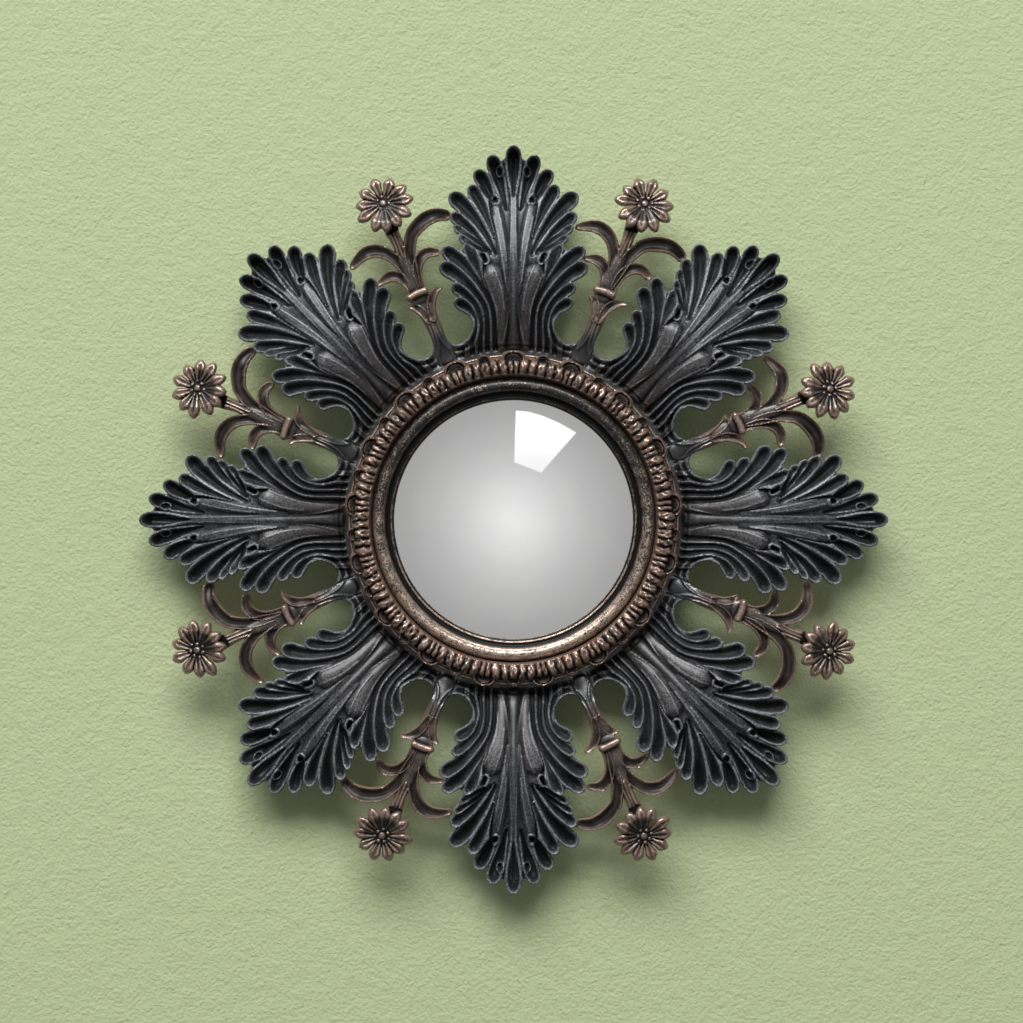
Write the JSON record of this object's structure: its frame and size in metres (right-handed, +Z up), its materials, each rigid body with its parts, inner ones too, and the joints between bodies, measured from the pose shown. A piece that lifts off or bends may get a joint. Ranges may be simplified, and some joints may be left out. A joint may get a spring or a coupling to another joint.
{
  "type": "round wall mirror",
  "caption": "Small round convex wall mirror in a carved ring, framed by radiating acanthus leaves and flower sprigs, with a keyhole hanger and turn buttons at the back.",
  "frame": {"origin": "centre of the hanger plate's round hole, on the plate's rear face, which hangs on the wall screw", "axes": "+Z up, the glass faces -Y, +Y goes into the wall, +X to the right seen from the front"},
  "size_m": [0.28, 0.0249, 0.28],
  "materials": {
    "charcoal_resin": "cast resin, near-black charcoal with a dry-brushed blue-grey sheen on the ridges",
    "copper_resin": "cast resin, black in the hollows with rubbed antique copper on the high spots",
    "mirror_glass": "polished convex mirror",
    "foam": "closed-cell foam, matt",
    "hardboard": "brown hardboard, slightly fibrous",
    "black_board": "fibreboard painted matt black",
    "steel": "zinc-plated steel, slightly yellowed",
    "felt": "dense felt"
  },
  "bodies": {
    "frame": {"ring_moulding": "copper_resin", "bezel_ring": "copper_resin", "mirror_glass": "mirror_glass", "foam_ring": "foam", "backing_disc": "hardboard", "back_ring": "black_board", "ring_screws": "steel", "turn_button_screws": "steel", "hanger_plate": "steel", "hanger_screws": "steel", "wall_pads": "felt", "leaf_top": "charcoal_resin", "leaf_top_right": "charcoal_resin", "leaf_right": "charcoal_resin", "leaf_bottom_right": "charcoal_resin", "leaf_bottom": "charcoal_resin", "leaf_bottom_left": "charcoal_resin", "leaf_left": "charcoal_resin", "leaf_top_left": "charcoal_resin", "flower_sprig_1": "copper_resin", "flower_sprig_2": "copper_resin", "flower_sprig_3": "copper_resin", "flower_sprig_4": "copper_resin", "flower_sprig_5": "copper_resin", "flower_sprig_6": "copper_resin", "flower_sprig_7": "copper_resin", "flower_sprig_8": "copper_resin"},
    "turn_button_1": {"turn_button_1": "steel"},
    "turn_button_2": {"turn_button_2": "steel"},
    "turn_button_3": {"turn_button_3": "steel"},
    "turn_button_4": {"turn_button_4": "steel"}
  },
  "joints": [
    {"name": "turn_button_1_turn", "type": "hinge", "parent": "frame", "child": "turn_button_1", "pos_m": [0.03818, -0.0004, -0.01632], "axis": [0, 1, 0], "continuous": true},
    {"name": "turn_button_2_turn", "type": "hinge", "parent": "frame", "child": "turn_button_2", "pos_m": [0.03818, -0.0004, -0.09268], "axis": [0, 1, 0], "continuous": true},
    {"name": "turn_button_3_turn", "type": "hinge", "parent": "frame", "child": "turn_button_3", "pos_m": [-0.03818, -0.0004, -0.09268], "axis": [0, 1, 0], "continuous": true},
    {"name": "turn_button_4_turn", "type": "hinge", "parent": "frame", "child": "turn_button_4", "pos_m": [-0.03818, -0.0004, -0.01632], "axis": [0, 1, 0], "continuous": true}
  ]
}
